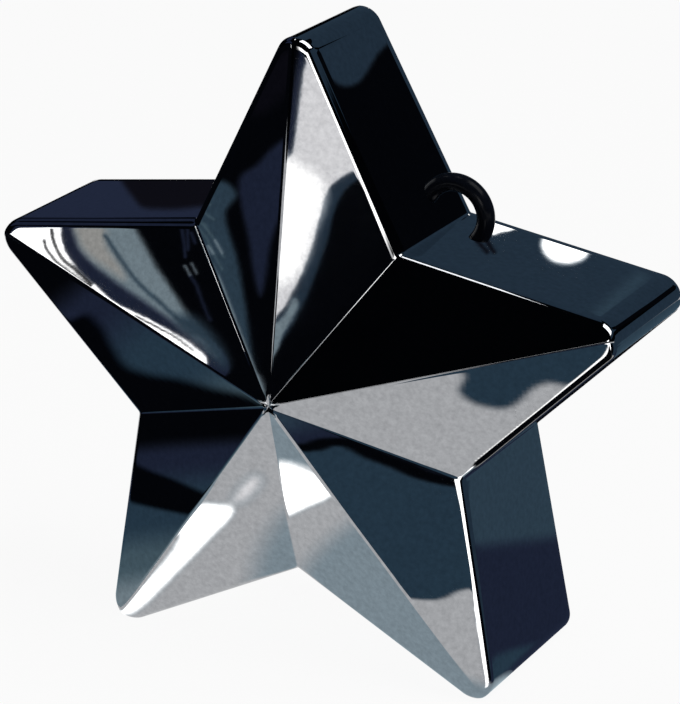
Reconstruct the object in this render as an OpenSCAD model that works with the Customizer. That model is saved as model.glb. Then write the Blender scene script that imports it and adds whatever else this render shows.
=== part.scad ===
// Star-shaped balloon weight. A faceted star shell of even wall holds the sand, a back cover
// sits in the shell's rear rim, a plug closes the filling hole, and a small loop takes the ribbon.
// X runs right, Y runs from the front to the back, Z runs up, and the star stands on two points.

/* [Star shell] */
// Centre of the star to a tip, before the tips are rounded
star_r = 55; // [46:1:68]
// Centre of the star to an inner corner
valley_r = 27.8; // [24:0.1:32]
// Rounding radius of the five tips
tip_round = 3.2; // [2:0.1:5]
// Rounding radius of the inner corners
valley_round = 0.4; // [0.2:0.05:1.2]
// Depth of the side walls at the star's centre
body_depth = 23.6; // [19:0.1:36]
// Lean of the back, so that the star is deeper at the foot
back_lean = 4.35; // [0:0.05:7]
// Rise of the peak above the front edge
front_rise = 8.1; // [5:0.1:12]
// Rounding of the front edge
edge_round = 0.9; // [0.4:0.05:1.1]
// Wall of the shell
wall = 1.6; // [1.4:0.1:2]
// Radius of the blunt peak, measured towards a tip
peak_blunt = 1.6; // [0.8:0.1:2.4]
// Depth of the small dimple in the peak
peak_dimple = 0.25; // [0.05:0.05:0.5]
// Rounding of the rear rim
rim_round = 0.25; // [0.1:0.05:0.35]

/* [Back cover] */
// Thickness of the cover
cover_t = 1.6; // [1.2:0.1:2.4]
// Width of the ledge that carries the cover
ledge_w = 0.8; // [0.5:0.05:0.9]
// Gap between the cover and the rim
cover_gap = 0.1; // [0.05:0.05:0.2]
// Height of the locating rib inside the wall
rib_h = 2; // [1:0.1:4]
// Thickness of the locating rib
rib_t = 1; // [0.6:0.1:1.4]
// Gap between the rib and the wall
rib_gap = 0.15; // [0.05:0.05:0.3]
// Break on the cover's outer edge
cover_edge = 0.2; // [0.1:0.05:0.3]

/* [Filling plug] */
// Diameter of the plug's shank
shank_d = 11; // [8:0.5:14]
// Width of the plug's flange beyond its shank
flange_w = 2; // [1:0.1:3]
// Thickness of the plug's flange, which lies flush in the cover
flange_t = 0.9; // [0.6:0.1:1.1]
// Clearance round the shank
shank_gap = 0.05; // [0.02:0.01:0.1]
// Clearance round the flange
flange_gap = 0.15; // [0.1:0.05:0.3]
// Wall of the hollow shank
shank_wall = 1.2; // [0.8:0.1:2]
// Wall of the collar that the shank presses into
collar_wall = 1.8; // [1.2:0.1:3]
// Lead-in at the shank's end
shank_lead = 0.4; // [0.2:0.05:0.6]

/* [Ribbon loop] */
// Diameter of the loop's rod
rod_d = 2.6; // [2.2:0.1:3.2]
// Radius of the arch, to the middle of the rod
arch_r = 4.7; // [4.2:0.1:6]
// Inner corner of the star to the centre of the arch
arch_reach = 2.7; // [2.4:0.1:5]
// Front edge to the middle of the loop
loop_back = 13.8; // [10:0.1:15]
// Depth of the loop's legs below the outside of the wall
leg_l = 5; // [4:0.1:6]
// Lead-in at the ends of the legs
leg_lead = 0.3; // [0.1:0.05:0.5]
// Clearance round the legs in their sockets
leg_gap = 0.05; // [0.02:0.01:0.1]
// Wall of the sockets
socket_wall = 1.1; // [0.8:0.1:1.6]

/* [Sand] */
// Height of the sand above the foot
sand_level = 84; // [50:1:88]
// Gap between the sand and the parts round it
sand_gap = 0.2; // [0.1:0.05:0.4]

/* [Hidden] */

// Number of star points, and the angle from one to the next
star_points = 5;
step = 360 / star_points;
// Half the angle of a tip, and half the opening of an inner corner
tip_half = atan2(valley_r * sin(step / 2), star_r - valley_r * cos(step / 2));
valley_half = tip_half + step / 2;
// Centre to an edge line, and the tilt of a front facet
edge_r = star_r * sin(tip_half);
facet_tilt = atan(front_rise / edge_r);
// Steps round a tip, round an inner corner, across the front edge and round bored surfaces
tip_steps = 14;
valley_steps = 4;
round_steps = 6;
smooth = 64;
// Sides of the loop's rod, and steps along its arch
rod_sides = 24;
arch_steps = 24;
// Least tip radius that an inset outline keeps
tip_least = 0.15;
// Overrun of the cuts
overrun = 1;
// Share of the star that the blunt peak takes
peak_share = peak_blunt / star_r;
// Insets from the star's outline
seat_inset = wall - ledge_w;
cover_inset = seat_inset + cover_gap;
rib_inset = wall + rib_gap;
sand_inset = wall + sand_gap;
// Loop legs: where they meet the wall, and the sockets round them
leg_foot = arch_r / tan(valley_half);
leg_end = leg_foot - leg_l;
socket_r = rod_d / 2 + leg_gap;
boss_r = socket_r + socket_wall;
loop_turn = step / 2;
// Length that is longer than the whole part
span = 3 * star_r;

function polar(r, a) = [r * cos(a), r * sin(a)];
// A thickness square to the leaning back, measured along Y
function along_y(t) = t / cos(back_lean);

// Rounded tip at angle a of the star's outline, drawn in by inset
function tip_arc(a, inset) =
    let (r = max(tip_round - inset, tip_least),
         c = star_r - (r + inset) / sin(tip_half))
    [for (k = [0 : tip_steps])
        polar(c, a) + polar(r, a + (90 - tip_half) * (2 * k / tip_steps - 1))];
// Rounded inner corner at angle a, drawn in by inset, about a centre outside the star
function valley_arc(a, inset) =
    let (r = valley_round + inset,
         c = valley_r + valley_round / sin(valley_half))
    [for (k = [0 : valley_steps])
        polar(c, a) + polar(r, a + 180 + (90 - valley_half) * (1 - 2 * k / valley_steps))];
// Outline of the star in X and Z, anticlockwise from the front
function outline(inset) =
    [for (i = [0 : star_points - 1])
        each concat(tip_arc(90 + i * step, inset), valley_arc(90 + (i + 0.5) * step, inset))];

// Share of the way from the centre to the star's edge line, 1 on the edge
function edge_share(p) =
    let (a = atan2(p.y, p.x) - 90,
         off = abs(a - step * round(a / step)))
    norm(p) * cos(90 - tip_half - off) / edge_r;

// Depths along Y at a point of the outline
front_at = function (p) -front_rise * (1 - edge_share(p));
inner_front_at = function (p) front_at(p) + wall / cos(facet_tilt);
sand_front_at = function (p) front_at(p) + sand_inset / cos(facet_tilt);
back_at = function (p) body_depth - p.y * tan(back_lean);
rim_at = function (p) back_at(p) - rim_round;
cover_edge_at = function (p) back_at(p) - cover_edge;
seat_at = function (p) back_at(p) - along_y(cover_t);
rib_at = function (p) seat_at(p) - along_y(rib_h);
sand_back_at = function (p) rib_at(p) - along_y(sand_gap);

// The star's outline, drawn in by inset and set at the depth that depth_at gives
function ring(inset, depth_at) = [for (p = outline(inset)) [p.x, depth_at(p), p.y]];
// The same outline drawn towards the centre, for the blunt peak
function peak_ring(inset, depth_at) =
    [for (p = outline(inset)) let (q = p * peak_share) [q.x, depth_at(q), q.y]];
// One of the rings across the rounded front edge
function edge_ring(k) =
    let (turn = 90 * k / round_steps)
    ring(edge_round * (1 - sin(turn)), function (p) front_at(p) + edge_round * (1 - cos(turn)));
function middle(y) = [0, y, 0];

// Closed skin through a row of rings, with a point at each end
module loft(first, rings, last) {
    n = len(rings[0]);
    m = len(rings);
    points = concat([first], [for (r = rings) each r], [last]);
    front_fan = [for (i = [0 : n - 1]) [0, 1 + (i + 1) % n, 1 + i]];
    sides = [for (j = [0 : m - 2], i = [0 : n - 1])
        let (a = 1 + j * n + i, b = 1 + j * n + (i + 1) % n)
        each [[a, b, b + n], [a, b + n, a + n]]];
    back_fan = [for (i = [0 : n - 1]) [m * n + 1, 1 + (m - 1) * n + i, 1 + (m - 1) * n + (i + 1) % n]];
    polyhedron(points = points, faces = concat(front_fan, sides, back_fan));
}

// Size of the whole part, to stand it on Z = 0 with its middle at the origin
foot_z = min([for (p = outline(0)) p.y]);
front_y = min([for (p = peak_ring(edge_round, front_at)) p.y]);
back_y = max([for (p = ring(rim_round, back_at)) p.y]);
module stand() {
    translate([0, -(front_y + back_y) / 2, -foot_z]) children();
}

// Frame at the inner corner between the top and right points: Z runs out of the corner, Y back
module at_corner() {
    translate([valley_r * sin(loop_turn), loop_back, valley_r * cos(loop_turn)])
        rotate([0, loop_turn, 0]) children();
}
// Frame on the outside of the back cover: Z runs out of the back
module at_back() {
    translate([0, body_depth, 0]) rotate([back_lean - 90, 0, 0]) children();
}

// Boss round one leg's socket, cut off inside the thickness of the wall
module socket_boss(side, extra) {
    intersection() {
        translate([side * arch_r, 0, leg_end - socket_wall - extra])
            cylinder(r = boss_r + extra, h = leg_l + span, $fn = smooth);
        rotate([0, side * (valley_half - 90), 0])
            translate([-span, -span, -span - wall / 2]) cube([2 * span, 2 * span, span]);
    }
}

// Faceted front and side walls in one even skin, with a seat for the cover and two blind sockets
module front_shell() {
    color("#16202b") stand() difference() {
        union() {
            loft(
                middle(-front_rise * (1 - peak_share) + peak_dimple),
                concat(
                    [peak_ring(edge_round, front_at)],
                    [for (k = [0 : round_steps]) edge_ring(k)],
                    [ring(0, rim_at), ring(rim_round, back_at)],
                    [ring(seat_inset, back_at), ring(seat_inset, seat_at), ring(wall, seat_at)],
                    [ring(wall, inner_front_at), peak_ring(wall, inner_front_at)]
                ),
                middle(inner_front_at([0, 0]) + front_rise * peak_share)
            );
            at_corner() {
                socket_boss(1, 0);
                socket_boss(-1, 0);
            }
        }
        at_corner() for (side = [-1, 1])
            translate([side * arch_r, 0, leg_end - leg_gap])
                cylinder(r = socket_r, h = leg_l + overrun + leg_gap, $fn = smooth);
    }
}

// Star plate, flush in the rim, with a rib that fits inside the wall and a collar for the plug
module back_cover() {
    color("#131c26") stand() difference() {
        union() {
            loft(
                middle(seat_at([0, 0])),
                [
                    ring(rib_inset + rib_t, seat_at),
                    ring(rib_inset + rib_t, rib_at),
                    ring(rib_inset, rib_at),
                    ring(rib_inset, seat_at),
                    ring(cover_inset, seat_at),
                    ring(cover_inset, cover_edge_at),
                    ring(cover_inset + cover_edge, back_at)
                ],
                middle(back_at([0, 0]))
            );
            at_back() translate([0, 0, -cover_t - rib_h])
                cylinder(d = shank_d + 2 * (shank_gap + collar_wall), h = cover_t / 2 + rib_h, $fn = smooth);
        }
        at_back() {
            translate([0, 0, -cover_t - rib_h - overrun])
                cylinder(d = shank_d + 2 * shank_gap, h = cover_t + rib_h + 2 * overrun, $fn = smooth);
            translate([0, 0, -flange_t])
                cylinder(d = shank_d + 2 * (flange_w + flange_gap), h = flange_t + overrun, $fn = smooth);
        }
    }
}

// Hollow press-in plug: a thin flange, flush with the cover, and a tubular shank
module filling_plug() {
    shank_r = shank_d / 2;
    end = -cover_t - rib_h;
    color("#10161d") stand() at_back() rotate_extrude($fn = smooth) polygon([
        [0, 0],
        [shank_r + flange_w, 0],
        [shank_r + flange_w, -flange_t],
        [shank_r, -flange_t],
        [shank_r, end + shank_lead],
        [shank_r - shank_lead, end],
        [shank_r - shank_wall, end],
        [shank_r - shank_wall, -flange_t],
        [0, -flange_t]
    ]);
}

// Ring round the rod at x and z in the corner's frame, where the rod heads turn degrees from up
function rod_ring(x, z, turn, r) =
    [for (k = [0 : rod_sides - 1])
        let (a = 360 * k / rod_sides)
        [x + r * sin(a) * cos(turn), r * cos(a), z - r * sin(a) * sin(turn)]];

// Arch of round rod across the inner corner, with two legs set in the shell's sockets
module ribbon_loop() {
    rod_r = rod_d / 2;
    color("#0c1118") stand() at_corner() loft(
        [-arch_r, 0, leg_end],
        concat(
            [rod_ring(-arch_r, leg_end, 0, rod_r - leg_lead)],
            [rod_ring(-arch_r, leg_end + leg_lead, 0, rod_r)],
            [for (k = [0 : arch_steps])
                let (turn = 180 * k / arch_steps)
                rod_ring(-arch_r * cos(turn), arch_reach + arch_r * sin(turn), turn, rod_r)],
            [rod_ring(arch_r, leg_end + leg_lead, 180, rod_r)],
            [rod_ring(arch_r, leg_end, 180, rod_r - leg_lead)]
        ),
        [arch_r, 0, leg_end]
    );
}

// Sand packed in the shell up to a level top, clear of the sockets and the cover
module sand_fill() {
    color("#b49a72") stand() difference() {
        intersection() {
            loft(
                middle(sand_front_at([0, 0]) + front_rise * peak_share),
                [
                    peak_ring(sand_inset, sand_front_at),
                    ring(sand_inset, sand_front_at),
                    ring(sand_inset, sand_back_at)
                ],
                middle(sand_back_at([0, 0]))
            );
            translate([-span, -span, foot_z - overrun]) cube([2 * span, 2 * span, sand_level + overrun]);
        }
        at_corner() {
            socket_boss(1, sand_gap);
            socket_boss(-1, sand_gap);
        }
    }
}

front_shell();
back_cover();
filling_plug();
ribbon_loop();
sand_fill();
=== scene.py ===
import bpy
import numpy as np
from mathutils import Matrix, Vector


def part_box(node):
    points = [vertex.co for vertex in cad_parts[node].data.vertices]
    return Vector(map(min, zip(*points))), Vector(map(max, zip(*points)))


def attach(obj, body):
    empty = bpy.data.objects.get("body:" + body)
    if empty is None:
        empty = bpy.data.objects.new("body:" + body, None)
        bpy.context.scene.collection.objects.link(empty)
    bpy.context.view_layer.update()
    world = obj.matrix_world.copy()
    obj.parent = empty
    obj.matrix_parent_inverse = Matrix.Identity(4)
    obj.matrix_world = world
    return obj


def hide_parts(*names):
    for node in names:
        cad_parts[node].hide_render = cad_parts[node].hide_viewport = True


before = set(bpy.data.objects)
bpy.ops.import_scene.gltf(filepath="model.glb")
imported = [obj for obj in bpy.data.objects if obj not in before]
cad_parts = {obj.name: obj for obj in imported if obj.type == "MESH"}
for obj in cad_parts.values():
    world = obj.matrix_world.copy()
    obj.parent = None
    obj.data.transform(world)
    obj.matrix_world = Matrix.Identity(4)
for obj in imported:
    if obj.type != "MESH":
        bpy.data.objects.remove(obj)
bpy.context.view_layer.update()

scene = bpy.context.scene
scene.view_settings.view_transform = "Standard"
mm = 0.001
deg = np.pi / 180

# Star sizes, the same as the solid's
star = {
    "points": 5,
    "tipReach": 55 * mm,         # middle to a tip before it is rounded
    "cornerReach": 27.8 * mm,    # middle to an inner corner
    "tipRound": 3.2 * mm,
    "cornerRound": 0.4 * mm,
    "depth": 23.6 * mm,          # side walls at the middle of the star
    "lean": 4.35 * deg,          # the back leans, so the foot is deeper
    "rise": 8.1 * mm,            # peak above the front edge
    "edgeRound": 0.9 * mm,
    "wall": 1.6 * mm,
    "peakBlunt": 1.6 * mm,
    "peakDimple": 0.25 * mm,
    "rimRound": 0.25 * mm,
    "coverThick": 1.6 * mm,
    "ledge": 0.8 * mm,
    "tipLeast": 0.15 * mm,
}
# Loop of rod across the inner corner
loop = {
    "rod": 2.6 * mm,
    "archRadius": 4.7 * mm,
    "archReach": 2.7 * mm,
    "back": 13.8 * mm,
    "leg": 5 * mm,
    "lead": 0.3 * mm,
    "sides": 48,
    "archSteps": 96,
}
# How finely the shell's skin is cut, and how softly its folds are rounded
skin = {
    "tipSteps": 24,
    "cornerSteps": 6,
    "edgeSteps": 52,
    "fineEdgeSteps": 96,         # the two edges beside the creased inner corner
    "facetRings": 64,
    "roundRings": 12,
    "wallRings": 18,
    "bluntRings": 3,
    "rimRings": 4,
    "ridgeSoft": 0.3 * mm,
    "creaseSoft": 0.22 * mm,
    "sharpFrom": 50 * deg,       # folds from this angle on stay sharp
}


def unit(angle):
    # (cos, sin) of each angle, side by side
    return np.stack([np.cos(angle), np.sin(angle)], -1)


turn = 2 * np.pi / star["points"]
tipHalf = np.arctan2(star["cornerReach"] * np.sin(turn / 2),
                     star["tipReach"] - star["cornerReach"] * np.cos(turn / 2))
cornerHalf = tipHalf + turn / 2
edgeReach = star["tipReach"] * np.sin(tipHalf)
lineAngle = np.pi / 2 - tipHalf


def starOutline(inset):
    # Rounded star, one row for each inset. Tip arc: centre on the tip's axis, radius tipRound - inset.
    # Inner corner: the same about a centre outside the star, radius cornerRound + inset.
    inset = np.atleast_1d(inset).astype(float)[:, None, None]
    tipRadius = np.maximum(star["tipRound"] - inset, star["tipLeast"])
    tipMid = star["tipReach"] - (tipRadius + inset) / np.sin(tipHalf)
    cornerRadius = star["cornerRound"] + inset
    cornerMid = star["cornerReach"] + star["cornerRound"] / np.sin(cornerHalf)
    tips, corners = [], []
    for i in range(star["points"]):
        toTip = np.pi / 2 + i * turn
        sweep = toTip + (np.pi / 2 - tipHalf) * np.linspace(-1, 1, skin["tipSteps"] + 1)
        tips.append(tipMid * unit(np.array([[toTip]])) + tipRadius * unit(sweep)[None])
        toCorner = toTip + turn / 2
        sweep = toCorner + np.pi + (np.pi / 2 - cornerHalf) * np.linspace(1, -1, skin["cornerSteps"] + 1)
        corners.append(cornerMid * unit(np.array([[toCorner]])) + cornerRadius * unit(sweep)[None])
    rows = []
    for i in range(star["points"]):
        steps = skin["fineEdgeSteps"] if i == 0 else skin["edgeSteps"]
        share = np.linspace(0, 1, steps + 1)[1:-1][None, :, None]
        tip, corner, nextTip = tips[i], corners[i], tips[(i + 1) % star["points"]]
        rows += [
            tip,
            tip[:, -1:] + (corner[:, :1] - tip[:, -1:]) * share,
            corner,
            corner[:, -1:] + (nextTip[:, :1] - corner[:, -1:]) * share,
        ]
    return np.concatenate(rows, 1)


def softFold(distance, soft):
    # A fold's distance, with its point taken off by a parabola that ends at soft
    return np.where(distance < soft, (distance**2 + soft**2) / (2 * soft), distance)


def edgeShare(p, soften):
    # Share of the way from the middle to the star's edge line, 1 on the edge. The ridge leads from the
    # middle to the nearest tip, the crease to the nearest inner corner.
    reach = np.hypot(p[..., 0], p[..., 1])
    angle = np.arctan2(p[..., 1], p[..., 0]) - np.pi / 2
    off = np.abs(angle - turn * np.round(angle / turn))
    ridge = reach * np.sin(off)
    crease = reach * np.sin(turn / 2 - off)
    out = reach * np.cos(off) * np.cos(lineAngle) + ridge * np.sin(lineAngle)
    if soften:
        out = out + np.sin(lineAngle) * (softFold(ridge, skin["ridgeSoft"]) - ridge)
        out = out - np.sin(lineAngle - turn / 2) * (softFold(crease, skin["creaseSoft"]) - crease)
    return out / edgeReach


def frontAt(p, soften=True):
    return -star["rise"] * (1 - edgeShare(p, soften))


def backAt(p):
    return star["depth"] - p[..., 1] * np.tan(star["lean"])


def innerFrontAt(p):
    return frontAt(p, False) + star["wall"] / np.cos(np.arctan(star["rise"] / edgeReach))


# Where the solid stands: its foot on z = 0, its depth about y = 0
outer = starOutline(0)[0]
footShift = -outer[:, 1].min()
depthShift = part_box("front_shell")[1].y - backAt(starOutline(star["rimRound"])[0]).max()
middle = Vector((0, depthShift, footShift))


def stood(p, y):
    # Outline points and depths as places in the row frame
    y = np.broadcast_to(y, p.shape[:-1])
    return np.stack([p[..., 0], y + depthShift, p[..., 1] + footShift], -1)


def skinMesh(name, first, rings, last):
    # Closed skin through rows of rings (m, n, 3), with a pole at each end
    m, n = rings.shape[:2]
    points = np.concatenate([first[None], rings.reshape(-1, 3), last[None]])
    i = np.arange(n)
    j = (i + 1) % n
    row = 1 + np.arange(m - 1)[:, None] * n
    quads = np.stack([row + i, row + j, row + j + n, row + i + n], -1).reshape(-1, 4)
    front = np.stack([np.zeros(n, int), 1 + j, 1 + i], -1)
    back = np.stack([np.full(n, len(points) - 1), 1 + (m - 1) * n + i, 1 + (m - 1) * n + j], -1)
    mesh = bpy.data.meshes.new(name)
    mesh.from_pydata(points.tolist(), [], front.tolist() + quads.tolist() + back.tolist())
    mesh.polygons.foreach_set("use_smooth", np.ones(len(mesh.polygons), bool))
    mesh.set_sharp_from_angle(angle=skin["sharpFrom"])
    mesh.update()
    piece = bpy.data.objects.new(name, mesh)
    scene.collection.objects.link(piece)
    return piece


def makeShell():
    # Facets: the edge's outline drawn to the peak, whose blunt end is a plateau with a dimple
    edge = starOutline(star["edgeRound"])[0]
    blunt = star["peakBlunt"] / star["tipReach"]
    plateauShare = np.linspace(0, blunt, skin["bluntRings"] + 2)[1:-1]
    share = np.concatenate([plateauShare, np.linspace(blunt, 1, skin["facetRings"])])[:, None]
    facets = edge[None] * share[..., None]
    atBlunt = edgeShare(edge * blunt, False)
    mix = np.minimum(share / blunt, 1)
    plateau = -star["rise"] * (1 - (1 - mix) * blunt - mix * atBlunt) + star["peakDimple"] * (1 - mix**2)
    rows = [stood(facets, np.where(share < blunt, plateau, frontAt(facets)))]
    # Front edge: a quarter round
    angle = np.linspace(0, np.pi / 2, skin["roundRings"] + 1)[1:]
    ring = starOutline(star["edgeRound"] * (1 - np.sin(angle)))
    rows.append(stood(ring, frontAt(ring) + star["edgeRound"] * (1 - np.cos(angle))[:, None]))
    # Walls: straight back to the rim, and the rim's own quarter round
    top = frontAt(outer) + star["edgeRound"]
    rim = backAt(outer) - star["rimRound"]
    share = np.linspace(0, 1, skin["wallRings"] + 1)[1:, None]
    rows.append(stood(np.repeat(outer[None], len(share), 0), top + (rim - top) * share))
    angle = np.linspace(0, np.pi / 2, skin["rimRings"] + 1)[1:]
    ring = starOutline(star["rimRound"] * (1 - np.cos(angle)))
    rows.append(stood(ring, backAt(ring) - star["rimRound"] * (1 - np.sin(angle))[:, None]))
    # Inside: the cover's seat, the walls and the facets
    seat = starOutline(star["wall"] - star["ledge"])[0]
    inner = starOutline(star["wall"])[0]
    seatDepth = star["coverThick"] / np.cos(star["lean"])
    rows += [stood(seat, backAt(seat))[None], stood(seat, backAt(seat) - seatDepth)[None]]
    rows += [stood(inner, backAt(inner) - seatDepth)[None], stood(inner, innerFrontAt(inner))[None]]
    rows.append(stood(inner * blunt, innerFrontAt(inner * blunt))[None])
    first = np.array([0, -star["rise"] * (1 - blunt) + star["peakDimple"] + depthShift, footShift])
    last = np.array([0, innerFrontAt(np.zeros(2)) + star["rise"] * blunt + depthShift, footShift])
    return skinMesh("starShell", first, np.concatenate(rows), last)


def outOfCorner(x, y, z):
    # From the frame of the upper right inner corner to the row frame
    half = turn / 2
    across = star["cornerReach"] * np.sin(half) + x * np.cos(half) + z * np.sin(half)
    up = star["cornerReach"] * np.cos(half) - x * np.sin(half) + z * np.cos(half)
    return np.stack([across, y + loop["back"] + depthShift, up + footShift], -1)


def makeLoop():
    # A round rod carried along leg, half circle and leg. Its centre line is worked out in the inner
    # corner's own frame: x across the corner, z out of it.
    foot = loop["archRadius"] / np.tan(cornerHalf)
    end = foot - loop["leg"]
    arch = np.pi * np.linspace(0, 1, loop["archSteps"] + 1)
    lineX = np.concatenate([[-1, -1], -np.cos(arch), [1, 1]]) * loop["archRadius"]
    archZ = loop["archReach"] + loop["archRadius"] * np.sin(arch)
    lineZ = np.concatenate([[end, end + loop["lead"]], archZ, [end + loop["lead"], end]])
    bend = np.concatenate([[0, 0], arch, [np.pi, np.pi]])
    radius = np.full(len(lineX), loop["rod"] / 2)
    radius[[0, -1]] -= loop["lead"]
    around = 2 * np.pi * np.arange(loop["sides"]) / loop["sides"]
    side = radius[:, None] * np.sin(around)
    x = lineX[:, None] + side * np.cos(bend)[:, None]
    y = radius[:, None] * np.cos(around)
    z = lineZ[:, None] - side * np.sin(bend)[:, None]
    first = outOfCorner(-loop["archRadius"], 0, end)
    last = outOfCorner(loop["archRadius"], 0, end)
    return skinMesh("ribbonLoop", first, outOfCorner(x, y, z), last)


shellPiece = makeShell()
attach(shellPiece, "root")
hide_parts("front_shell")
print("shell skin:", len(shellPiece.data.polygons), "faces")

loopPiece = makeLoop()
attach(loopPiece, "root")
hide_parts("ribbon_loop")
print("ribbon loop:", len(loopPiece.data.polygons), "faces")


def newGroup(name, inputs, outputs):
    group = bpy.data.node_groups.new(name, "ShaderNodeTree")
    for label, kind, value in inputs:
        socket = group.interface.new_socket(name=label, in_out="INPUT", socket_type=kind)
        socket.default_value = value
    for label, kind in outputs:
        group.interface.new_socket(name=label, in_out="OUTPUT", socket_type=kind)
    return group


def addNode(tree, kind, values=None, **settings):
    node = tree.nodes.new(kind)
    for key, value in settings.items():
        setattr(node, key, value)
    for key, value in (values or {}).items():
        node.inputs[key].default_value = value
    return node


# The film's noises: an orange peel, a broad waviness and a fine mottle, with scales in cycles per metre
noises = {
    "Peel": {"scale": 700, "detail": 2, "roughness": 0.5},
    "Wave": {"scale": 120, "detail": 1, "roughness": 0.4},
    "Mottle": {"scale": 1300, "detail": 3, "roughness": 0.6},
}
grain = {
    "waveShare": 2.5,            # the wave's height, where the peel's is 1
    "tight": 0.35,               # value of the wave where the film is glossiest
    "loose": 0.75,               # and where it is dullest
    "bumpReach": 0.1 * mm,
}


def makeFilmGroup():
    # The peel and the wave add up to a height, the wave also dulls the gloss, and the mottle is for the
    # colour. It starts out with the shell's own gloss.
    shellFinish = finishes["front_shell"]
    group = newGroup("filmFinish", [
        *((name + " Scale", "NodeSocketFloat", noise["scale"]) for name, noise in noises.items()),
        ("Gloss", "NodeSocketFloat", shellFinish["gloss"]),
        ("Dull", "NodeSocketFloat", shellFinish["dull"]),
    ], [
        ("Height", "NodeSocketFloat"),
        ("Roughness", "NodeSocketFloat"),
        ("Mottle", "NodeSocketFloat"),
    ])
    take = group.nodes.new("NodeGroupInput")
    give = group.nodes.new("NodeGroupOutput")
    place = addNode(group, "ShaderNodeTexCoord")
    link = group.links.new
    value = {}
    for name, noise in noises.items():
        settings = {"Detail": noise["detail"], "Roughness": noise["roughness"]}
        node = addNode(group, "ShaderNodeTexNoise", settings)
        link(place.outputs["Object"], node.inputs["Vector"])
        link(take.outputs[name + " Scale"], node.inputs["Scale"])
        value[name] = node.outputs["Fac"]
    total = addNode(group, "ShaderNodeMath", operation="MULTIPLY_ADD")
    total.inputs[1].default_value = grain["waveShare"]
    link(value["Wave"], total.inputs[0])
    link(value["Peel"], total.inputs[2])
    link(total.outputs[0], give.inputs["Height"])
    level = addNode(group, "ShaderNodeMapRange", {"From Min": grain["tight"], "From Max": grain["loose"]})
    link(value["Wave"], level.inputs["Value"])
    link(take.outputs["Gloss"], level.inputs["To Min"])
    link(take.outputs["Dull"], level.inputs["To Max"])
    link(level.outputs["Result"], give.inputs["Roughness"])
    link(value["Mottle"], give.inputs["Mottle"])
    return group


# Finish of each piece: the mottle's two ends, the least and the most roughness, and the bump
finishes = {
    "front_shell": {
        "name": "metallisedBlack", "dark": (0.255, 0.262, 0.275), "light": (0.475, 0.485, 0.505),
        "gloss": 0.012, "dull": 0.022, "bump": 0.004, "metallic": 1.0, "specular": 0.5,
    },
    "back_cover": {
        "name": "metallisedCover", "dark": (0.16, 0.18, 0.20), "light": (0.24, 0.26, 0.28),
        "gloss": 0.16, "dull": 0.26, "bump": 0.1, "metallic": 1.0, "specular": 0.5,
    },
    "filling_plug": {
        "name": "blackPlugPlastic", "dark": (0.012, 0.014, 0.017), "light": (0.02, 0.023, 0.027),
        "gloss": 0.3, "dull": 0.42, "bump": 0.2, "metallic": 0.0, "specular": 0.5,
    },
    "ribbon_loop": {
        "name": "glossyLoopPlastic", "dark": (0.003, 0.004, 0.007), "light": (0.007, 0.009, 0.015),
        "gloss": 0.1, "dull": 0.2, "bump": 0.08, "metallic": 0.0, "specular": 0.06,
    },
    "sand_fill": {
        "name": "drySand", "dark": (0.42, 0.33, 0.22), "light": (0.55, 0.45, 0.31),
        "gloss": 0.8, "dull": 0.95, "bump": 0.9, "metallic": 0.0, "specular": 0.5,
    },
}


def makeFinish(finish):
    material = bpy.data.materials.new(finish["name"])
    material.use_nodes = True
    tree = material.node_tree
    shader = tree.nodes["Principled BSDF"]
    shader.inputs["Metallic"].default_value = finish["metallic"]
    shader.inputs["Specular IOR Level"].default_value = finish["specular"]
    surface = addNode(tree, "ShaderNodeGroup", node_tree=filmGroup)
    surface.inputs["Gloss"].default_value = finish["gloss"]
    surface.inputs["Dull"].default_value = finish["dull"]
    tint = addNode(tree, "ShaderNodeMix", data_type="RGBA")
    tint.inputs["A"].default_value = (*finish["dark"], 1)
    tint.inputs["B"].default_value = (*finish["light"], 1)
    height = addNode(tree, "ShaderNodeBump", {"Strength": finish["bump"], "Distance": grain["bumpReach"]})
    link = tree.links.new
    link(surface.outputs["Mottle"], tint.inputs["Factor"])
    link(tint.outputs["Result"], shader.inputs["Base Color"])
    link(surface.outputs["Roughness"], shader.inputs["Roughness"])
    link(surface.outputs["Height"], height.inputs["Height"])
    link(height.outputs["Normal"], shader.inputs["Normal"])
    return material


filmGroup = makeFilmGroup()
dressed = {"front_shell": shellPiece, "ribbon_loop": loopPiece}
for node, finish in finishes.items():
    piece = dressed[node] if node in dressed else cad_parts[node]
    piece.data.materials.clear()
    piece.data.materials.append(makeFinish(finish))
# The loop is left out of every mirror image, so the walls beside it show the painted cards alone
loopPiece.visible_glossy = False
print("materials set")

# Studio
studio = {
    "floorHalf": 3,               # half of the floor's side, in metres
    "floorColour": (0.86, 0.86, 0.86),
    "floorGlow": 0.94,            # share of the floor's white that doesn't depend on the lamps
    "roomColour": (0.0012, 0.0016, 0.0025),
    "cardLift": 0.3 * mm,         # cards that lie on the floor
    "curveSteps": 8,              # of a card's outline, between two of its points
    "screenSteps": 48,
}
# Numbers of the display's curve: it is straight up to its toe, and a power above it
display = {"toe": 0.04045, "toeSlope": 12.92, "shift": 0.055, "power": 2.4}
tiny = 1e-9

# Tones of the cards, 0 to 255, as they show in the film; above 255 is brighter than white
tones = {
    "black": (3, 4, 7),
    "ink": (9, 9, 15),
    "navy": (25, 31, 48),
    "slate": (30, 43, 56),
    "teal": (34, 51, 65),
    "steel": (40, 56, 69),
    "harbour": (62, 80, 90),
    "mist": (106, 120, 128),
    "dusk": (118, 132, 141),
    "pewter": (138, 138, 136),
    "silver": (206, 206, 209),
    "white": (275, 275, 275),
    "glare": (330, 330, 330),
}


def heading(azimuth, elevation):
    # Azimuth 0 points out of the front, 90 to the right
    a, e = azimuth * deg, elevation * deg
    return Vector((np.sin(a) * np.cos(e), -np.cos(a) * np.cos(e), np.sin(e)))


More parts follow.
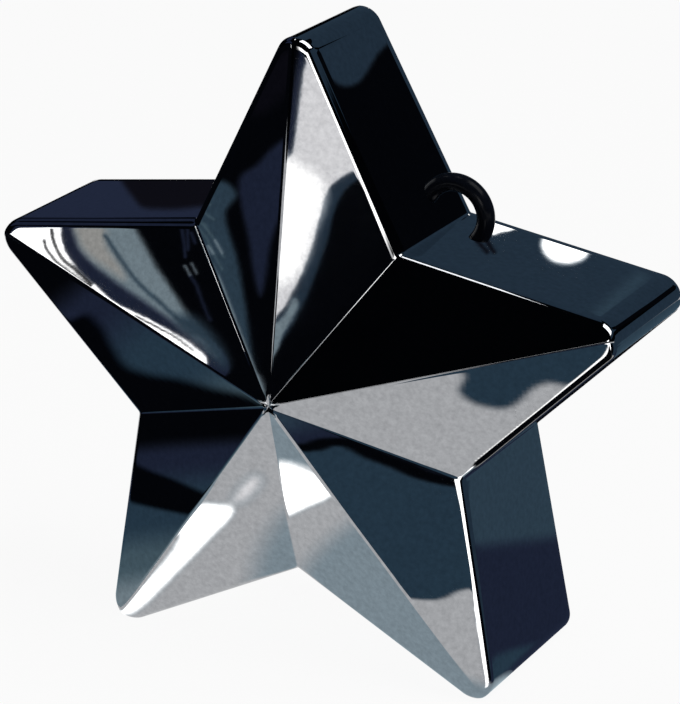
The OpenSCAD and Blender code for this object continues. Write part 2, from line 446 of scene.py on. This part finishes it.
def softbox(name, lamp):
    # An area lamp that faces the star; its level is its brightness where 1 is white
    data = bpy.data.lights.new(name, "AREA")
    data.shape = "RECTANGLE"
    data.size, data.size_y = lamp["width"], lamp["height"]
    data.energy = lamp["level"] * np.pi * lamp["width"] * lamp["height"]
    box = bpy.data.objects.new(name, data)
    out = heading(lamp["azimuth"], lamp["elevation"])
    box.location = middle + out * lamp["reach"]
    box.rotation_mode = "QUATERNION"
    box.rotation_quaternion = out.to_track_quat("Z", "Y")
    box.visible_camera = False
    scene.collection.objects.link(box)


def makeFloorMaterial():
    # It glows for a camera, a mirror and glass, so its white hardly depends on the lamps
    material = bpy.data.materials.new("paleFloor")
    material.use_nodes = True
    tree = material.node_tree
    tree.nodes.clear()
    plain = addNode(tree, "ShaderNodeBsdfDiffuse", {"Color": (*studio["floorColour"], 1)})
    glow = addNode(tree, "ShaderNodeEmission", {"Color": (1, 1, 1, 1), "Strength": 1.0})
    path = addNode(tree, "ShaderNodeLightPath")
    either = addNode(tree, "ShaderNodeMath", operation="MAXIMUM")
    both = addNode(tree, "ShaderNodeMath", operation="MAXIMUM")
    share = addNode(tree, "ShaderNodeMath", operation="MULTIPLY")
    share.inputs[1].default_value = studio["floorGlow"]
    mix = addNode(tree, "ShaderNodeMixShader")
    out = addNode(tree, "ShaderNodeOutputMaterial")
    link = tree.links.new
    link(path.outputs["Is Camera Ray"], either.inputs[0])
    link(path.outputs["Is Glossy Ray"], either.inputs[1])
    link(either.outputs[0], both.inputs[0])
    link(path.outputs["Is Transmission Ray"], both.inputs[1])
    link(both.outputs[0], share.inputs[0])
    link(share.outputs[0], mix.inputs[0])
    link(plain.outputs[0], mix.inputs[1])
    link(glow.outputs[0], mix.inputs[2])
    link(mix.outputs[0], out.inputs["Surface"])
    return material


def makeFloor():
    half = studio["floorHalf"]
    mesh = bpy.data.meshes.new("floor")
    corners = [(-half, -half, 0), (half, -half, 0), (half, half, 0), (-half, half, 0)]
    mesh.from_pydata(corners, [], [(0, 1, 2, 3)])
    mesh.materials.append(makeFloorMaterial())
    floor = bpy.data.objects.new("floor", mesh)
    scene.collection.objects.link(floor)


def makeCardMaterial():
    # Glows with the tone painted on the card's own points, and is clear where nothing is painted
    material = bpy.data.materials.new("paintedCard")
    material.use_nodes = True
    tree = material.node_tree
    tree.nodes.clear()
    paint = addNode(tree, "ShaderNodeAttribute", attribute_name="tone")
    glow = addNode(tree, "ShaderNodeEmission")
    out = addNode(tree, "ShaderNodeOutputMaterial")
    clear = addNode(tree, "ShaderNodeBsdfTransparent")
    mix = addNode(tree, "ShaderNodeMixShader")
    link = tree.links.new
    link(paint.outputs["Color"], glow.inputs["Color"])
    link(paint.outputs["Alpha"], mix.inputs[0])
    link(clear.outputs[0], mix.inputs[1])
    link(glow.outputs[0], mix.inputs[2])
    link(mix.outputs[0], out.inputs["Surface"])
    return material


def curveThrough(points, closed):
    # Smooth curve through the given points, cubic between each two. The slope at a point is its
    # neighbours' chord, drawn to the length of the stretch.
    line = np.array(points, float)
    ends = (line[-1:], line[:2]) if closed else (line[:1], line[-1:])
    line = np.concatenate([ends[0], line, ends[1]])
    before, start, end, after = (line[i:len(line) - 3 + i, None] for i in range(4))
    length = np.linalg.norm(end - start, axis=-1, keepdims=True)
    slopeStart = (end - before) / np.linalg.norm(end - before, axis=-1, keepdims=True) * length
    slopeEnd = (after - start) / np.linalg.norm(after - start, axis=-1, keepdims=True) * length
    t = np.linspace(0, 1, studio["curveSteps"], endpoint=False)[None, :, None]
    rise = t * t * (3 - 2 * t)
    curve = start + (end - start) * rise + slopeStart * t * (1 - t)**2 - slopeEnd * t * t * (1 - t)
    curve = curve.reshape(-1, 2)
    return curve if closed else np.concatenate([curve, line[-1:]])


def distanceTo(start, end, x, y):
    # Distance from one straight stretch
    (ax, ay), (bx, by) = start, end
    dx, dy = bx - ax, by - ay
    share = np.clip(((x - ax) * dx + (y - ay) * dy) / max(dx * dx + dy * dy, tiny), 0, 1)
    return np.hypot(x - ax - share * dx, y - ay - share * dy)


def depthInside(outline, x, y):
    # Distance from a closed outline, positive inside it. A level line from a point inside crosses the
    # outline an odd number of times.
    near = np.full(x.shape, np.inf)
    inside = np.zeros(x.shape, bool)
    for start, end in zip(outline, np.roll(outline, -1, 0)):
        near = np.minimum(near, distanceTo(start, end, x, y))
        (ax, ay), (bx, by) = start, end
        dy = by - ay
        crossing = ax + (y - ay) * (bx - ax) / (dy if dy else tiny)
        inside ^= ((ay > y) != (by > y)) & (x < crossing)
    return np.where(inside, near, -near)


def depthInStroke(line, width, x, y):
    near = np.full(x.shape, np.inf)
    for start, end in zip(line[:-1], line[1:]):
        near = np.minimum(near, distanceTo(start, end, x, y))
    return width / 2 - near


def glowOf(tone):
    # The glow that shows as this tone in the film: the display curve undone, over the film's own colour
    v = np.asarray(tone, float) / 255
    low = v / display["toeSlope"]
    high = ((v + display["shift"]) / (1 + display["shift"]))**display["power"]
    return np.where(v <= display["toe"], low, high) / filmMean


def toneSheet(name, points, colours):
    # A grid of points (ny, nx, 3), with a glow and a cover (ny, nx, 4) on each. It shows in the film alone.
    ny, nx = points.shape[:2]
    i = np.arange(ny - 1)[:, None] * nx + np.arange(nx - 1)
    quads = np.stack([i, i + 1, i + nx + 1, i + nx], -1).reshape(-1, 4)
    mesh = bpy.data.meshes.new(name)
    mesh.from_pydata(points.reshape(-1, 3).tolist(), [], quads.tolist())
    layer = mesh.color_attributes.new("tone", "FLOAT_COLOR", "POINT")
    layer.data.foreach_set("color", colours.ravel())
    mesh.materials.append(cardMaterial)
    sheet = bpy.data.objects.new(name, mesh)
    sheet.visible_camera = False
    sheet.visible_diffuse = False
    sheet.visible_shadow = False
    scene.collection.objects.link(sheet)


def paintedCard(name, origin, across, rise, card):
    # A grid of points over two parameters, x across and y up in mm, each painted with the card's ground,
    # or left clear, and then with its shapes in turn, their edges softened by a smooth step
    steps = (int(round((high - low) / card["cell"])) + 1 for low, high in card["span"])
    x, y = np.meshgrid(*(np.linspace(*span, count) for span, count in zip(card["span"], steps)))
    shapes = card.get("shapes", [])
    ground = card.get("ground")
    paint = np.broadcast_to(np.array(tones[ground or shapes[0]["tone"]], float), x.shape + (3,))
    painted = np.full(x.shape + (1,), 1.0 if ground else 0.0)
    for shape in shapes:
        closed = "width" not in shape
        line = curveThrough(shape["points"], closed)
        depth = depthInside(line, x, y) if closed else depthInStroke(line, shape["width"], x, y)
        cover = np.clip(0.5 + depth / (2 * shape["soft"]), 0, 1)[..., None]
        cover = cover * cover * (3 - 2 * cover)
        paint = paint + (np.array(tones[shape["tone"]]) - paint) * cover
        painted = np.maximum(painted, cover)
    points = np.array(origin) + (x[..., None] * np.array(across) + y[..., None] * np.array(rise)) * mm
    toneSheet(name, points, np.concatenate([glowOf(paint), painted], -1))


def facingCard(name, card):
    # Square to a line out of the star's middle; x runs to the right of someone who looks along that line
    out = heading(card["azimuth"], card["elevation"])
    across = heading(card["azimuth"] + 90, 0)
    paintedCard(name, middle + out * card["reach"] * mm, across, out.cross(across), card)


def floorCard(name, card):
    lift = studio["cardLift"] + card.get("lift", 0) * mm
    paintedCard(name, (0, 0, lift), (1, 0, 0), (0, 1, 0), card)


def roundDarkBand(name, screen):
    # Upright glowing band of painted shade behind the cards, over two parameters, azimuth and height
    azimuth = np.linspace(*screen["azimuths"], studio["screenSteps"]) * deg
    azimuth, z = np.meshgrid(azimuth, np.array([0, screen["height"] * mm]))
    out = screen["reach"] * mm
    points = np.stack([out * np.sin(azimuth), -out * np.cos(azimuth) + depthShift, z], -1)
    colours = np.ones(azimuth.shape + (4,))
    colours[..., :3] = glowOf(tones[screen["tone"]])
    toneSheet(name, points, colours)


def patch(tone, soft, points):
    # Closed shape of a card, soft mm wide at its edge
    return {"tone": tone, "soft": soft, "points": points}


def stroke(tone, soft, width, points):
    # Line of a card, both widths in mm
    return {"tone": tone, "soft": soft, "width": width, "points": points}


# Glowing cards in the air, in mm, painted reflections. None is seen by a camera: they show in the film
# alone.
facingCards = {
    # Glowing card in front, the painted reflection and highlights on the right side of the top point
    "frontReflectionCard": {
        "azimuth": 5, "elevation": -2, "reach": 300, "cell": 0.3, "ground": "black",
        "span": ((-12, 26), (-24, 70)),
        "shapes": [
            patch("slate", 0.6, [
                (-11, 64), (4, 64), (18, 46), (19, 38.5), (12, 34.8), (8, 31.5), (6, 27), (4.7, 20),
                (2.4, 12), (0, 5), (-4, -3), (-7, -8), (-11, -10)]),
            patch("navy", 0.6, [
                (-14, 37), (-6.5, 37.4), (-4.7, 40), (-4.2, 46), (-3.6, 54), (-2.8, 60), (-1, 70),
                (-14, 70)]),
            patch("black", 1, [
                (-14, 37.4), (-7.8, 38), (-6.4, 41), (-5.8, 46), (-5.2, 54), (-4.4, 60), (-3, 70),
                (-14, 70)]),
            patch("silver", 0.35, [
                (-1.5, 62), (8, 66), (28, 62), (28, 40), (18, 37.6), (14, 36.2), (10, 36), (7.3, 34.6),
                (4.7, 32.2), (3.3, 29), (2.4, 24.5), (1.3, 19), (0, 14.8), (-1.2, 11), (-2.6, 7.8),
                (-4.5, 4), (-9, 0), (-9, 36), (-5.5, 37.8), (-4.3, 40), (-3.8, 46), (-3.2, 54),
                (-2.6, 59)]),
            patch("white", 2.5, [
                (-9, 39), (-4, 37), (2, 33.5), (3.3, 29), (1, 21), (-0.5, 15), (-3, 11), (-9, 9)]),
            patch("mist", 0.5, [
                (-2.2, 6.4), (-1.2, 5.5), (-1.7, 2.9), (-4, -1.6), (-6, -7), (-9, -9), (-9, -1),
                (-5.5, 1), (-4, 2.8)]),
        ],
    },
    # Glowing card beside it, a painted highlight for the front edge of the top point alone
    "edgeHighlightCard": {
        "azimuth": 28, "elevation": 9, "reach": 320, "cell": 3,
        "span": ((-138, 30), (-54, 90)),
        "shapes": [
            patch("glare", 4, [
                (-130, 20), (-104, 34), (-72, 48), (-31, 66), (2, 80), (12, 50), (22, 24), (-10, 9),
                (-50, -10), (-82, -25), (-112, -40), (-130, -46)]),
        ],
    },
    # Glowing card at the right, a painted dull reflection for the same edge at its upper end
    "edgeSlateCard": {
        "azimuth": 105, "elevation": 0, "reach": 300, "cell": 5,
        "span": ((-285, 290), (125, 300)),
        "shapes": [
            patch("slate", 3, [
                (-285, 206), (-140, 191), (-47, 179), (92, 164), (290, 134), (290, 230), (92, 260),
                (-140, 280), (-285, 290)]),
        ],
    },
    # Glowing card at the left, painted highlight, shade and wrinkle lines for the upper side of the left
    # point
    "leftPointHighlightCard": {
        "azimuth": -36, "elevation": 11, "reach": 300, "cell": 0.3, "ground": "black",
        "span": ((-58, 24), (-14, 30)),
        "shapes": [
            patch("navy", 0.4, [
                (-57, 2), (-57, 22), (-34, 21), (-29, 11), (-14, 6), (4, 0), (7, -5), (0, -7),
                (-20, -3), (-40, 2)]),
            patch("glare", 0.25, [
                (-57, 5), (-53, 11), (-47, 15), (-41, 19), (-39.7, 15.5), (-38.1, 11.8), (-36.4, 9.6),
                (-33.4, 7.4), (-27.8, 4.7), (-22.4, 2.4), (-16, 1.6), (-11.5, 0.9), (-7, 0),
                (-2.4, -1.2), (1.7, -3.5), (0, -6), (-12, -5), (-30, -2), (-45, 2)]),
            stroke("black", 0.2, 0.85, [
                (-41.5, 14.5), (-40.8, 13), (-39.5, 10.8), (-37, 8.3), (-32.6, 6.4), (-28.6, 4.5)]),
            stroke("black", 0.2, 0.75, [
                (-41.8, 10.5), (-40.5, 8.8), (-37.3, 6.8), (-34.5, 5.8), (-27.8, 3.3)]),
            stroke("black", 0.2, 0.5, [(-17, 1), (-11, 0.1), (-6, -0.9), (-2, -2.2)]),
            patch("mist", 1.1, [
                (-37, 19), (-34.8, 12.6), (-32.4, 10.6), (-28.4, 8.6), (-21.6, 6.3), (-14.8, 4.4),
                (-7.8, 2.2), (-0.5, -0.4), (4, -1.9), (2.8, -0.2), (-4, 4), (-10, 8.6), (-15.5, 12.9),
                (-21.7, 18.5), (-27, 22)]),
            patch("pewter", 1.5, [
                (-37, 18), (-34.4, 13), (-31.5, 10.8), (-26, 9), (-22, 8.5), (-28, 14), (-31, 19)]),
            stroke("steel", 0.6, 0.8, [(-29.2, 16), (-20.2, 9.2), (-13.1, 5.9), (-3.3, 1.5)]),
            patch("steel", 2, [(-8, 3.2), (-1, 0), (6, -3.5), (4, 0.5), (-4, 5)]),
            stroke("navy", 0.3, 0.6, [(-13.5, 23.7), (-12.1, 20.8), (-10.5, 17.3)]),
            stroke("navy", 0.3, 0.6, [(-12.4, 24.1), (-10.4, 19)]),
            stroke("navy", 0.3, 0.6, [(-10.9, 22.9), (-9.4, 21)]),
            stroke("navy", 0.5, 0.6, [(-8.1, 13.6), (-6.2, 12.1), (-4.2, 9.6), (-0.6, 5.6)]),
            stroke("dusk", 0.4, 0.3, [(-10, 15.3), (-8.2, 13.8)]),
            stroke("dusk", 0.4, 0.3, [(-8.7, 16.4), (-6.9, 14.6)]),
        ],
    },
    # Glowing card far left, painted shade and wrinkle streaks for the left side of the top point
    "topLeftShadeCard": {
        "azimuth": -60, "elevation": -6.5, "reach": 220, "cell": 0.25, "ground": "black",
        "span": ((-20, 18), (-16, 68)),
        "shapes": [
            patch("ink", 2, [(-6, 46), (2, 52), (2, 60), (-5, 56)]),
            patch("navy", 0.9, [
                (4, 42), (1.8, 41), (-1.9, 35.6), (-4.6, 32.5), (-3.4, 27.5), (-0.6, 21), (2.7, 12),
                (4.3, 10), (4.2, 21), (5.2, 29)]),
            patch("steel", 0.9, [
                (-9, 31), (-4.7, 29.3), (-6, 24.7), (-2, 16.5), (1.5, 7.5), (6, -5.5), (9.2, -11),
                (2.3, 0), (-5, 10.5), (-12.5, 21), (-12.5, 26)]),
            patch("mist", 1.2, [(6.8, -6.5), (8.2, -8), (9.8, -12), (8, -11)]),
            stroke("mist", 0.3, 0.6, [(-6.9, 14.2), (-3.9, 10.3), (-1.5, 6.4), (2.3, 0.3), (8.2, -9)]),
            stroke("harbour", 0.3, 0.4, [(-10.7, 26.7), (-9.4, 26)]),
            stroke("harbour", 0.3, 0.4, [(-11.5, 24.9), (-9.9, 24), (-8.1, 23.2)]),
            stroke("harbour", 0.3, 0.4, [(-11.8, 23), (-9.8, 21.5), (-8.4, 20.1)]),
            stroke("harbour", 0.3, 0.4, [
                (-11.5, 21.6), (-10.7, 20.7), (-9, 19.3), (-6.8, 16.4), (-4.5, 13.5)]),
            stroke("harbour", 0.3, 0.4, [(-9.9, 21.9), (-6.9, 18.8), (-4.7, 16.1)]),
            stroke("dusk", 0.3, 0.3, [(-8.2, 17.7), (-6.9, 16.3)]),
            stroke("dusk", 0.3, 0.3, [(-7.1, 19.1), (-5.2, 16.8)]),
        ],
    },
    # Glowing navy cards up at the left, a painted dark reflection for the upper edge of the left point
    "aboveLeftNavyCard": {
        "azimuth": -58, "elevation": 32, "reach": 310, "cell": 10, "ground": "navy",
        "span": ((-120, 90), (-50, 50)),
    },
    "upLeftNavyCard": {
        "azimuth": -115, "elevation": 42, "reach": 300, "cell": 10, "ground": "navy",
        "span": ((-110, 110), (-50, 50)),
    },
    # Glowing cards behind, painted reflections, highlights and dark streaks for the side walls
    "wallTop": {
        "azimuth": 150, "elevation": 11, "reach": 300, "cell": 0.4, "ground": "black",
        "span": ((-26, 14), (0, 66)),
        "shapes": [
            patch("slate", 0.8, [
                (-2, 65), (-3, 54.4), (-4.4, 50.4), (-4.2, 46.8), (-2.8, 44.6), (-0.6, 43.7),
                (1.9, 43.9), (6.8, 44.9), (13, 46), (13, 65)]),
        ],
    },
    "wallRight": {
        "azimuth": -162, "elevation": 25, "reach": 300, "cell": 0.4, "ground": "slate",
        "span": ((-70, 6), (4, 32)),
        "shapes": [
            patch("glare", 0.9, [
                (-32, 14), (-33, 16), (-35.3, 17.3), (-38, 17.3), (-40.8, 16.1), (-42.6, 14),
                (-42.5, 9), (-33, 9)]),
            patch("glare", 0.3, [(-20.6, 16), (-22.9, 15), (-25.4, 13.2), (-25, 10), (-20, 10)]),
            stroke("steel", 2, 3, [(-49.7, 25.6), (-55.5, 14.9)]),
            stroke("ink", 0.4, 0.9, [(-18.3, 18.7), (-21.2, 20.3)]),
            stroke("ink", 0.4, 0.9, [(-20.1, 17.8), (-22.7, 19.8)]),
        ],
    },
    # Glowing slate cards further up: painted dull reflection for the rounded tips and right point's top
    # edge
    "behindSlateBand": {
        "azimuth": 178, "elevation": 0, "reach": 340, "cell": 10, "ground": "slate",
        "span": ((-165, 190), (30, 265)),
    },
    "overheadSlateCard": {
        "azimuth": -155, "elevation": 52, "reach": 300, "cell": 10, "ground": "slate",
        "span": ((-90, 45), (-90, 118)),
    },
    # Glowing card for the left point's side wall, a painted navy reflection with a darker patch
    "wallLeft": {
        "azimuth": -144, "elevation": 8, "reach": 300, "cell": 0.5, "ground": "navy",
        "span": ((-6, 54), (4, 32)),
        "shapes": [
            patch("ink", 0.9, [(18, 6), (17, 17.5), (12.6, 20), (5, 21.7), (-4, 22), (-4, 6)]),
        ],
    },
}

# Glowing cards that lie on the floor, or just above it, in mm, with painted reflections for the film
floorCards = {
    # Glowing card on the floor before the star, a painted dark reflection with a black line across it
    "frontFloorShadeCard": {
        "cell": 0.7, "span": ((0, 75), (-230, -48)),
        "shapes": [
            patch("teal", 0.9, [
                (8, -230), (10, -80), (19, -69), (24, -62), (23.2, -58.5), (25, -56), (27.5, -54.6),
                (30.5, -54), (32.7, -55.3), (34.8, -57.7), (37, -58.8), (40, -57.9), (46, -55),
                (60, -53), (75, -58), (75, -230)]),
            patch("navy", 2, [
                (5, -235), (8, -142), (21.5, -139), (25, -142), (29, -141), (32.5, -133), (36, -127),
                (39, -121), (45, -115), (75, -112), (78, -235)]),
            stroke("black", 1.2, 5, [
                (8, -137), (21.5, -138), (25, -141), (29, -140), (32.5, -132), (36, -126), (39, -120),
                (42.5, -116), (46, -114), (60, -110)]),
            patch("steel", 8, [(8, -152), (22, -152), (22, -180), (8, -180)]),
        ],
    },
    # Glowing card under the star: painted highlights and duller patches, seen in the lower facets
    "footHighlightCard": {
        "cell": 0.4, "lift": 0.2, "span": ((-44, 36), (-46, 0)),
        "shapes": [
            patch("dusk", 3, [
                (-9, -27), (-2, -33), (10, -30), (34, -14), (33, -2), (0, -2), (-10, -14)]),
            patch("dusk", 1, [
                (-42, -44), (-42, -30), (-29, -29.5), (-22, -31.5), (-21.5, -34), (-28, -40)]),
            patch("silver", 1.5, [(-16.5, -31), (-14, -31), (-12, -35), (-14, -36)]),
            patch("glare", 0.9, [
                (-31, -10), (-23.5, -24), (-28, -27), (-28, -30), (-17, -30.5), (-15.5, -29),
                (-18, -24.5), (-22.5, -17.5), (-27, -11), (-29.5, -9.5)]),
        ],
    },
    # Glowing floor card, a painted reflection that darkens to the left, and a raised black card above it
    "leftFloorShadeCard": {
        "cell": 1, "lift": 0.1, "span": ((-190, -33), (-110, 14)),
        "shapes": [
            patch("black", 2, [(-230, -150), (-230, 50), (-35, 50), (-35, -150)]),
            patch("navy", 5, [(-88, -150), (-88, 50), (-25, 50), (-25, -150)]),
            patch("teal", 9, [(-74, -150), (-74, 50), (-25, 50), (-25, -150)]),
            patch("harbour", 8, [(-53, -150), (-53, 50), (-25, 50), (-25, -150)]),
            patch("mist", 6, [(-40, -150), (-40, 50), (-25, 50), (-25, -150)]),
        ],
    },
    "raisedBlackCard": {
        "cell": 0.6, "lift": 13, "span": ((-84, -28), (-36, -8)),
        "shapes": [
            patch("black", 1.2, [
                (-80, -11), (-79, -27), (-74, -27.5), (-68, -25.7), (-61.7, -24.2), (-56.4, -25.2),
                (-51.2, -27.3), (-44.1, -29.4), (-37.2, -31.6), (-31, -31), (-36, -22), (-50, -13)]),
        ],
    },
    # Black card further in front: painted shade for the ridge of the right point and for the peak
    "frontBlackCard": {
        "cell": 8, "lift": -0.15, "span": ((-220, 260), (-1000, -160)),
        "shapes": [
            patch("black", 8, [
                (12, -165), (2, -198), (-20, -262), (-60, -400), (-140, -786), (-200, -1100),
                (300, -1100), (300, -240), (40, -236), (14, -232)]),
        ],
    },
    # Dark cards past the pale table, left and right: painted dark reflections in place of the floor
    "leftFarBlackCard": {
        "cell": 6, "lift": -0.1, "span": ((-520, -30), (-520, 300)),
        "shapes": [
            patch("black", 12, [
                (-70, -120), (-60, -300), (-50, -600), (-700, -600), (-700, 400), (-210, 400),
                (-180, -60), (-120, -100)]),
        ],
    },
    "rightFarSlateCard": {
        "cell": 6, "lift": -0.1, "span": ((60, 520), (-200, 500)),
        "shapes": [
            patch("slate", 12, [(120, 170), (140, 40), (330, 20), (700, 0), (700, 600), (100, 600)]),
        ],
    },
    # At the right: painted highlight strip, a dark one and dull slate, for the right foot's front edge
    "rightFootHighlightCard": {
        "cell": 1.5, "lift": 0.3, "span": ((32, 330), (-150, 130)),
        "shapes": [
            patch("slate", 4, [
                (46, -12), (76, -42), (130, -86), (330, -150), (420, 0), (330, 130), (110, 130),
                (104, 40), (58, 0)]),
            patch("black", 1.5, [
                (38, -15), (84, -46), (131, -104), (150, -150), (230, -130), (190, -62), (108, -14),
                (45, -9)]),
            patch("glare", 0.8, [
                (32.6, -12), (33.6, -20), (37.3, -48), (41, -55), (50, -65), (55, -73), (53, -82),
                (47, -104), (48, -150), (160, -150), (128, -104), (85, -47), (40, -15.5)]),
        ],
    },
    # Thin raised card, for the right point's front edge alone: painted light, black, then a highlight line
    "pointEdgeHighlightCard": {
        "cell": 0.4, "lift": 33.7, "span": ((26, 64), (-38, 8)),
        "shapes": [
            patch("pewter", 0.3, [
                (28.8, -10), (42, -10), (58, -12), (60, 4), (53.9, 3.6), (47, 0.2), (40.9, -2.6),
                (34.9, -5.3), (28.9, -8)]),
            patch("black", 0.3, [
                (28.4, -11.7), (33.6, -15.9), (39, -20.3), (44.4, -25.1), (50.6, -31), (55, -34),
                (61, -33), (61, -8), (55.1, -1), (47.9, -3.1), (41.5, -4.9), (35.3, -6.7), (29, -8.6)]),
            patch("white", 0.2, [
                (28.2, -12), (33.2, -16.7), (38.4, -21.6), (43.7, -26.9), (49.4, -32.6), (50.4, -31.4),
                (44.3, -25.3), (38.9, -20.4), (33.5, -15.9), (28.4, -11.8)]),
        ],
    },
    # Glowing card on the floor behind: painted reflections for the side walls that look down
    "backFloorReflectionCard": {
        "cell": 1.2, "span": ((-40, 130), (-24, 170)),
        "shapes": [
            patch("steel", 3, [
                (34, -7), (50, -16), (128, 60), (128, 165), (60, 165), (18, 90), (18, 5)]),
            patch("navy", 5, [(32, -8), (50, -20), (112, 60), (96, 66), (60, 65), (14, 64), (14, 5)]),
            patch("teal", 2.5, [(35, -6), (43, 4), (38, 13), (34, 4)]),
            patch("black", 2, [(-36, 45), (10, 45), (10, 168), (-36, 168)]),
        ],
    },
}
# Upright glowing bands, painted dark reflections that hide the far floor from the film, in degrees and mm
darkBands = {
    "leftDarkBand": {"azimuths": (-140, -24), "reach": 400, "height": 110, "tone": "black"},
    "rightDarkBand": {"azimuths": (98, 178), "reach": 420, "height": 110, "tone": "slate"},
}
# Lamps, in metres and degrees
lamps = {
    "rightKey": {"azimuth": 92, "elevation": 62, "reach": 0.9, "width": 0.6, "height": 0.6, "level": 4},
    "topLine": {"azimuth": -85, "elevation": 77, "reach": 0.9, "width": 0.22, "height": 0.12, "level": 3},
}
# The photograph's view: its place in metres, the way it looks, and its lens
view = {
    "place": (0.21460, -0.39351, 0.21140),
    "along": (-0.4455, 0.8244, -0.3492),
    "lens": 170.97,
    "sensor": 36,
    "nearest": 0.01,
}

cardMaterial = makeCardMaterial()
filmMean = (np.array(finishes["front_shell"]["dark"]) + np.array(finishes["front_shell"]["light"])) / 2
for name, screen in darkBands.items():
    roundDarkBand(name, screen)
for name, card in facingCards.items():
    facingCard(name, card)
for name, card in floorCards.items():
    floorCard(name, card)
print("reflected cards:", len(darkBands) + len(facingCards) + len(floorCards))

makeFloor()
world = bpy.data.worlds.new("darkRoom")
scene.world = world
world.use_nodes = True
world.node_tree.nodes["Background"].inputs["Color"].default_value = (*studio["roomColour"], 1)
for name, lamp in lamps.items():
    softbox(name, lamp)

camera = bpy.data.objects.new("photoCamera", bpy.data.cameras.new("photoCamera"))
camera.data.sensor_width = view["sensor"]
camera.data.lens = view["lens"]
camera.data.clip_start = view["nearest"]
camera.location = view["place"]
camera.rotation_mode = "QUATERNION"
camera.rotation_quaternion = Vector(view["along"]).to_track_quat("-Z", "Y")
scene.collection.objects.link(camera)
scene.camera = camera
print("studio set")
